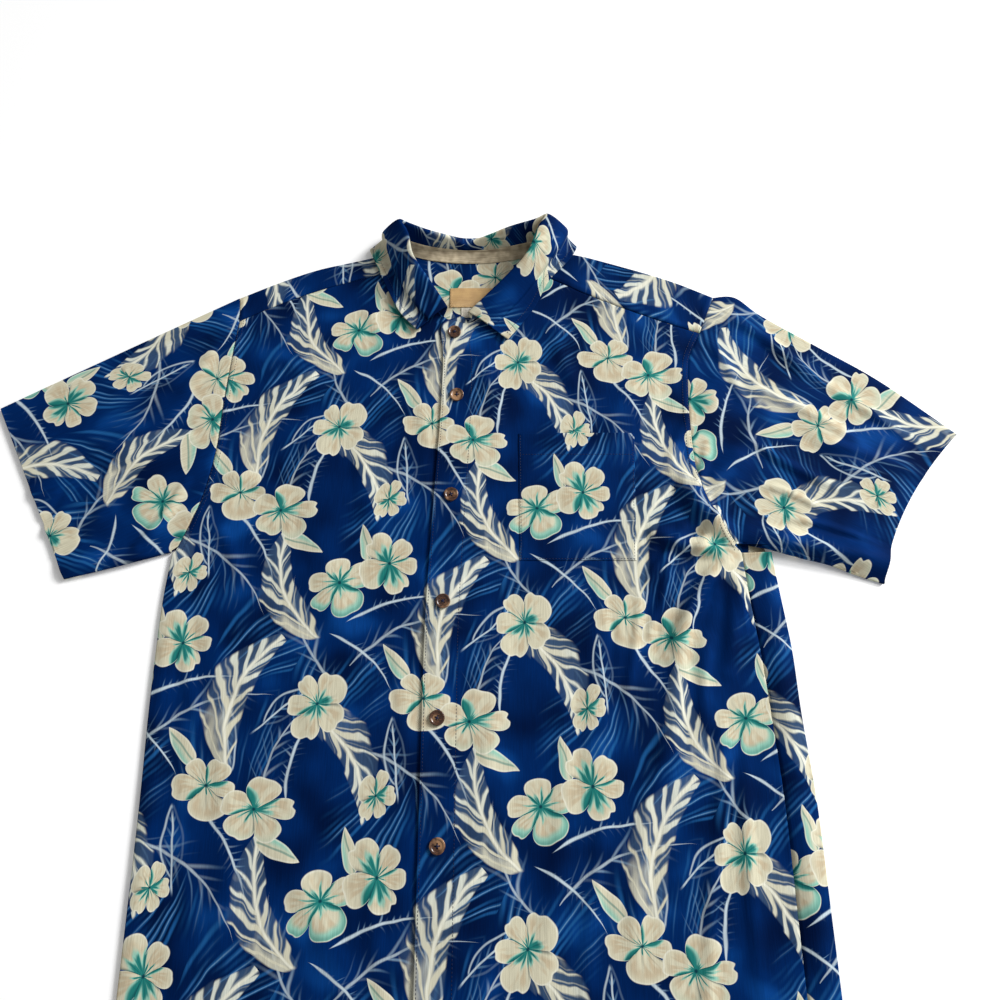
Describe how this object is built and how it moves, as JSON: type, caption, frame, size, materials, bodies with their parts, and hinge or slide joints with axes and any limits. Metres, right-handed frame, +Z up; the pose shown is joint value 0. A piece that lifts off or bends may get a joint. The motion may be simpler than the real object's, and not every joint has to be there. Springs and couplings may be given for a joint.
{
  "type": "hawaiian shirt",
  "caption": "Short-sleeved button-up shirt in a flower and leaf print, lying flat face up, with a folded collar, a chest pocket and a plain label.",
  "frame": {"origin": "middle of the garment's outline in plan, on the surface that it lies on", "axes": "+Z up, out of the shirt's front; +Y from the hem to the collar; +X to the wearer's left sleeve"},
  "size_m": [1.0346, 0.8226, 0.0426],
  "materials": {
    "print_cloth": "woven, slightly silky, flower and leaf print",
    "tape_cloth": "mottled cotton tape",
    "label_cloth": "smooth woven satin",
    "button_shell": "polished coconut shell"
  },
  "bodies": {
    "root": {"back": "print_cloth", "yoke": "print_cloth", "front_right": "print_cloth", "front_left": "print_cloth", "sleeve_right": "print_cloth", "sleeve_left": "print_cloth", "collar": "print_cloth", "pocket": "print_cloth", "neck_tape": "tape_cloth", "size_tab": "tape_cloth", "label": "label_cloth", "button_1": "button_shell", "button_2": "button_shell", "button_3": "button_shell", "button_4": "button_shell", "button_5": "button_shell", "button_6": "button_shell"}
  },
  "joints": []
}
